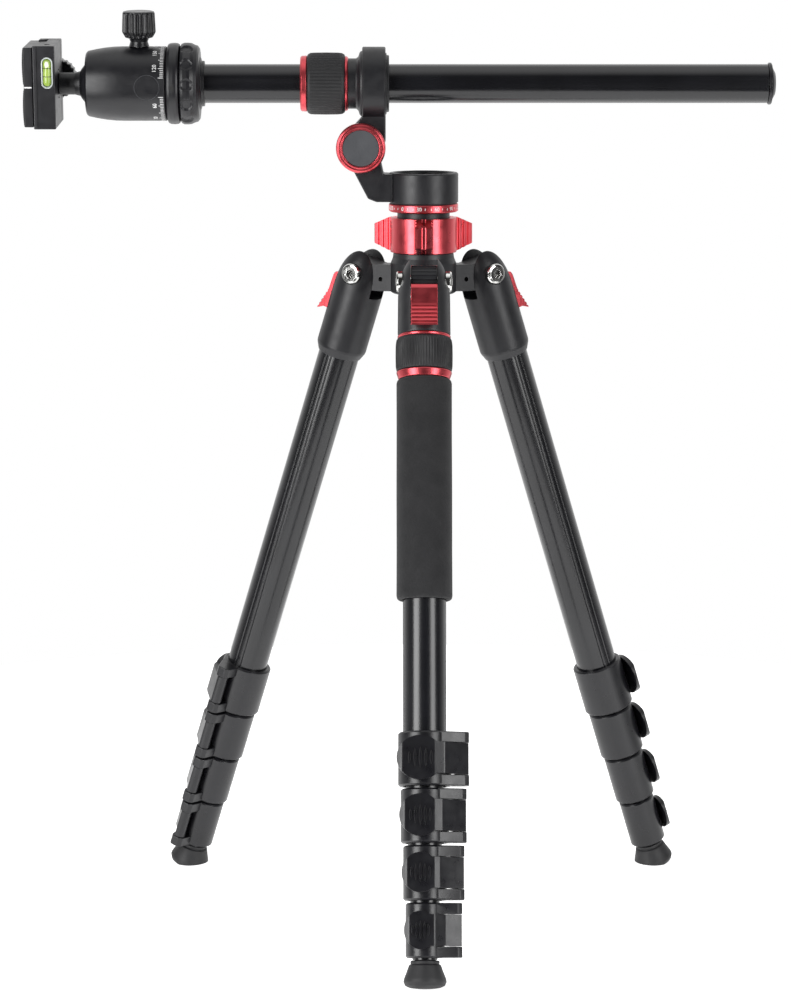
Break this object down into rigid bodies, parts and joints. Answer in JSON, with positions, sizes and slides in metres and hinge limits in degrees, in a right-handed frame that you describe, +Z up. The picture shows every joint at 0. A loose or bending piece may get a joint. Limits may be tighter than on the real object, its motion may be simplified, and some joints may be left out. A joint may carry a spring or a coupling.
{
  "type": "camera tripod",
  "caption": "Folding camera tripod with five-section legs, a column that swings to the horizontal, and a ball head with a quick-release clamp.",
  "frame": {"origin": "on the ground, at the centre of the model's box, with the legs spread to their first stop and collapsed, and the column horizontal", "axes": "+Z up, +X along the column away from the head, -Y towards the front leg"},
  "size_m": [0.4999, 0.3253, 0.6118],
  "materials": {
    "black_casting": "satin black powder coat on cast aluminium",
    "gloss_tube": "gloss black anodised tube",
    "red_anodised": "red anodised, satin",
    "black_plastic": "fine-grained black moulding",
    "rubber": "matt ribbed rubber",
    "foam": "matt closed-cell foam",
    "chrome": "bright plated steel",
    "vial": "clear vial with yellow-green liquid"
  },
  "bodies": {
    "spider": {"spider": "black_casting", "front_pivot_bolt": "chrome", "right_pivot_bolt": "chrome", "left_pivot_bolt": "chrome"},
    "pan_lock": {"pan_wing_lock": "red_anodised"},
    "base": {"base_cup": "black_casting"},
    "tilt_arm": {"swing_ring": "black_casting"},
    "tilt_knob": {"tilt_knob": "red_anodised"},
    "column_collar": {"column_collar": "rubber"},
    "column": {"column_tube": "gloss_tube", "column_end_cap": "black_plastic", "column_platform": "black_casting", "pan_base": "black_casting"},
    "head": {"ball_housing": "black_casting"},
    "ball_lock_knob": {"ball_lock_knob": "black_plastic"},
    "ball": {"ball": "black_casting"},
    "clamp": {"clamp_body": "black_casting", "bubble_level": "vial"},
    "clamp_jaw": {"clamp_jaw": "black_casting"},
    "clamp_knob": {"clamp_knob": "black_plastic"},
    "plate": {"quick_release_plate": "black_casting"},
    "camera_screw": {"camera_screw": "chrome"},
    "front_leg": {"front_yoke": "black_casting", "front_section_1": "gloss_tube", "front_leg_grip": "foam"},
    "front_angle_tab": {"front_angle_tab": "red_anodised"},
    "front_leg_2": {"front_section_2": "gloss_tube"},
    "front_leg_3": {"front_section_3": "gloss_tube"},
    "front_leg_4": {"front_section_4": "gloss_tube"},
    "front_leg_5": {"front_section_5": "gloss_tube", "front_foot": "rubber"},
    "front_lever_1": {"front_lever_1": "black_plastic"},
    "front_lever_2": {"front_lever_2": "black_plastic"},
    "front_lever_3": {"front_lever_3": "black_plastic"},
    "front_lever_4": {"front_lever_4": "black_plastic"},
    "front_collar": {"front_leg_collar": "rubber"},
    "right_leg": {"right_yoke": "black_casting", "right_section_1": "gloss_tube"},
    "right_angle_tab": {"right_angle_tab": "red_anodised"},
    "right_leg_2": {"right_section_2": "gloss_tube"},
    "right_leg_3": {"right_section_3": "gloss_tube"},
    "right_leg_4": {"right_section_4": "gloss_tube"},
    "right_leg_5": {"right_section_5": "gloss_tube", "right_foot": "rubber"},
    "right_lever_1": {"right_lever_1": "black_plastic"},
    "right_lever_2": {"right_lever_2": "black_plastic"},
    "right_lever_3": {"right_lever_3": "black_plastic"},
    "right_lever_4": {"right_lever_4": "black_plastic"},
    "left_leg": {"left_yoke": "black_casting", "left_section_1": "gloss_tube"},
    "left_angle_tab": {"left_angle_tab": "red_anodised"},
    "left_leg_2": {"left_section_2": "gloss_tube"},
    "left_leg_3": {"left_section_3": "gloss_tube"},
    "left_leg_4": {"left_section_4": "gloss_tube"},
    "left_leg_5": {"left_section_5": "gloss_tube", "left_foot": "rubber"},
    "left_lever_1": {"left_lever_1": "black_plastic"},
    "left_lever_2": {"left_lever_2": "black_plastic"},
    "left_lever_3": {"left_lever_3": "black_plastic"},
    "left_lever_4": {"left_lever_4": "black_plastic"}
  },
  "joints": [
    {"name": "pan_lock_turn", "type": "hinge", "parent": "spider", "child": "pan_lock", "pos_m": [0.0151, 0.0449, 0.462], "axis": [0, 0, 1], "range_deg": [0, 120]},
    {"name": "base_pan", "type": "hinge", "parent": "spider", "child": "base", "pos_m": [0.0151, 0.0449, 0.485], "axis": [0, 0, 1], "continuous": true},
    {"name": "arm_tilt", "type": "hinge", "parent": "base", "child": "tilt_arm", "pos_m": [-0.0268, 0.0449, 0.5211], "axis": [0, 1, 0], "range_deg": [-75, 35]},
    {"name": "tilt_knob_turn", "type": "hinge", "parent": "base", "child": "tilt_knob", "pos_m": [-0.0268, 0.0449, 0.5211], "axis": [0, 1, 0], "range_deg": [0, 360]},
    {"name": "column_collar_twist", "type": "hinge", "parent": "tilt_arm", "child": "column_collar", "pos_m": [-0.0499, 0.0449, 0.5631], "axis": [1, 0, 0], "range_deg": [0, 180]},
    {"name": "column_slide", "type": "slide", "parent": "tilt_arm", "child": "column", "axis": [1, 0, 0], "range_m": [-0.24, 0.06]},
    {"name": "head_pan", "type": "hinge", "parent": "column", "child": "head", "pos_m": [-0.1749, 0.0449, 0.5631], "axis": [-1, 0, 0], "continuous": true},
    {"name": "ball_lock_turn", "type": "hinge", "parent": "head", "child": "ball_lock_knob", "pos_m": [-0.1744, 0.0449, 0.5631], "axis": [0, -0.0785, 0.9969], "range_deg": [0, 270]},
    {"name": "ball_tilt", "type": "hinge", "parent": "head", "child": "ball", "pos_m": [-0.1981, 0.0449, 0.5631], "axis": [0, 0.9969, 0.0785], "range_deg": [-28, 28]},
    {"name": "clamp_roll", "type": "hinge", "parent": "ball", "child": "clamp", "pos_m": [-0.2285, 0.0449, 0.5631], "axis": [-1, 0, 0], "continuous": true},
    {"name": "clamp_jaw_slide", "type": "slide", "parent": "clamp", "child": "clamp_jaw", "axis": [0, 0.9969, 0.0785], "range_m": [0, 0.004]},
    {"name": "clamp_knob_turn", "type": "hinge", "parent": "clamp_jaw", "child": "clamp_knob", "pos_m": [-0.2328, 0.0449, 0.5631], "axis": [0, 0.9969, 0.0785], "range_deg": [0, 1080]},
    {"name": "plate_slide", "type": "slide", "parent": "clamp", "child": "plate", "axis": [0, -0.0785, 0.9969], "range_m": [-0.055, 0.055]},
    {"name": "camera_screw_turn", "type": "hinge", "parent": "plate", "child": "camera_screw", "pos_m": [-0.2399, 0.0449, 0.5631], "axis": [-1, 0, 0], "continuous": true},
    {"name": "front_leg_splay", "type": "hinge", "parent": "spider", "child": "front_leg", "pos_m": [0.0151, -0.002, 0.435], "axis": [-1, 0, 0], "range_deg": [-18.8, 60]},
    {"name": "front_angle_tab_pull", "type": "slide", "parent": "front_leg", "child": "front_angle_tab", "axis": [0, -0.9466, 0.3223], "range_m": [0, 0.005], "stiffness_N_per_m": 400, "springref_m": -0.005},
    {"name": "front_section_2_slide", "type": "slide", "parent": "front_leg", "child": "front_leg_2", "axis": [0, -0.3223, -0.9466], "range_m": [0, 0.215]},
    {"name": "front_section_3_slide", "type": "slide", "parent": "front_leg_2", "child": "front_leg_3", "axis": [0, -0.3223, -0.9466], "range_m": [0, 0.215]},
    {"name": "front_section_4_slide", "type": "slide", "parent": "front_leg_3", "child": "front_leg_4", "axis": [0, -0.3223, -0.9466], "range_m": [0, 0.215]},
    {"name": "front_section_5_slide", "type": "slide", "parent": "front_leg_4", "child": "front_leg_5", "axis": [0, -0.3223, -0.9466], "range_m": [0, 0.215]},
    {"name": "front_lever_1_flip", "type": "hinge", "parent": "front_leg", "child": "front_lever_1", "pos_m": [0.0392, -0.10669, 0.13741], "axis": [0, 0.3223, 0.9466], "range_deg": [0, 110]},
    {"name": "front_lever_2_flip", "type": "hinge", "parent": "front_leg_2", "child": "front_lever_2", "pos_m": [0.0375, -0.11842, 0.10295], "axis": [0, 0.3223, 0.9466], "range_deg": [0, 110]},
    {"name": "front_lever_3_flip", "type": "hinge", "parent": "front_leg_3", "child": "front_lever_3", "pos_m": [0.036, -0.13015, 0.0685], "axis": [0, 0.3223, 0.9466], "range_deg": [0, 110]},
    {"name": "front_lever_4_flip", "type": "hinge", "parent": "front_leg_4", "child": "front_lever_4", "pos_m": [0.0345, -0.14188, 0.03404], "axis": [0, 0.3223, 0.9466], "range_deg": [0, 110]},
    {"name": "front_collar_twist", "type": "hinge", "parent": "front_leg", "child": "front_collar", "pos_m": [0.0151, -0.01811, 0.38767], "axis": [0, 0.3223, 0.9466], "range_deg": [0, 360]},
    {"name": "right_leg_splay", "type": "hinge", "parent": "spider", "child": "right_leg", "pos_m": [0.05572, 0.06835, 0.435], "axis": [0.5, -0.866, 0], "range_deg": [-18.8, 60]},
    {"name": "right_angle_tab_pull", "type": "slide", "parent": "right_leg", "child": "right_angle_tab", "axis": [0.8198, 0.4733, 0.3223], "range_m": [0, 0.005], "stiffness_N_per_m": 400, "springref_m": -0.005},
    {"name": "right_section_2_slide", "type": "slide", "parent": "right_leg", "child": "right_leg_2", "axis": [0.2791, 0.1611, -0.9466], "range_m": [0, 0.215]},
    {"name": "right_section_3_slide", "type": "slide", "parent": "right_leg_2", "child": "right_leg_3", "axis": [0.2791, 0.1611, -0.9466], "range_m": [0, 0.215]},
    {"name": "right_section_4_slide", "type": "slide", "parent": "right_leg_3", "child": "right_leg_4", "axis": [0.2791, 0.1611, -0.9466], "range_m": [0, 0.215]},
    {"name": "right_section_5_slide", "type": "slide", "parent": "right_leg_4", "child": "right_leg_5", "axis": [0.2791, 0.1611, -0.9466], "range_m": [0, 0.215]},
    {"name": "right_lever_1_flip", "type": "hinge", "parent": "right_leg", "child": "right_lever_1", "pos_m": [0.13433, 0.14156, 0.13741], "axis": [-0.2791, -0.1611, 0.9466], "range_deg": [0, 110]},
    {"name": "right_lever_2_flip", "type": "hinge", "parent": "right_leg_2", "child": "right_lever_2", "pos_m": [0.14534, 0.14596, 0.10295], "axis": [-0.2791, -0.1611, 0.9466], "range_deg": [0, 110]},
    {"name": "right_lever_3_flip", "type": "hinge", "parent": "right_leg_3", "child": "right_lever_3", "pos_m": [0.15625, 0.15052, 0.0685], "axis": [-0.2791, -0.1611, 0.9466], "range_deg": [0, 110]},
    {"name": "right_lever_4_flip", "type": "hinge", "parent": "right_leg_4", "child": "right_lever_4", "pos_m": [0.16716, 0.15509, 0.03404], "axis": [-0.2791, -0.1611, 0.9466], "range_deg": [0, 110]},
    {"name": "left_leg_splay", "type": "hinge", "parent": "spider", "child": "left_leg", "pos_m": [-0.02552, 0.06835, 0.435], "axis": [0.5, 0.866, 0], "range_deg": [-18.8, 60]},
    {"name": "left_angle_tab_pull", "type": "slide", "parent": "left_leg", "child": "left_angle_tab", "axis": [-0.8198, 0.4733, 0.3223], "range_m": [0, 0.005], "stiffness_N_per_m": 400, "springref_m": -0.005},
    {"name": "left_section_2_slide", "type": "slide", "parent": "left_leg", "child": "left_leg_2", "axis": [-0.2791, 0.1611, -0.9466], "range_m": [0, 0.215]},
    {"name": "left_section_3_slide", "type": "slide", "parent": "left_leg_2", "child": "left_leg_3", "axis": [-0.2791, 0.1611, -0.9466], "range_m": [0, 0.215]},
    {"name": "left_section_4_slide", "type": "slide", "parent": "left_leg_3", "child": "left_leg_4", "axis": [-0.2791, 0.1611, -0.9466], "range_m": [0, 0.215]},
    {"name": "left_section_5_slide", "type": "slide", "parent": "left_leg_4", "child": "left_leg_5", "axis": [-0.2791, 0.1611, -0.9466], "range_m": [0, 0.215]},
    {"name": "left_lever_1_flip", "type": "hinge", "parent": "left_leg", "child": "left_lever_1", "pos_m": [-0.12823, 0.09982, 0.13741], "axis": [0.2791, -0.1611, 0.9466], "range_deg": [0, 110]},
    {"name": "left_lever_2_flip", "type": "hinge", "parent": "left_leg_2", "child": "left_lever_2", "pos_m": [-0.13754, 0.10716, 0.10295], "axis": [0.2791, -0.1611, 0.9466], "range_deg": [0, 110]},
    {"name": "left_lever_3_flip", "type": "hinge", "parent": "left_leg_3", "child": "left_lever_3", "pos_m": [-0.14695, 0.11432, 0.0685], "axis": [0.2791, -0.1611, 0.9466], "range_deg": [0, 110]},
    {"name": "left_lever_4_flip", "type": "hinge", "parent": "left_leg_4", "child": "left_lever_4", "pos_m": [-0.15636, 0.12149, 0.03404], "axis": [0.2791, -0.1611, 0.9466], "range_deg": [0, 110]}
  ]
}
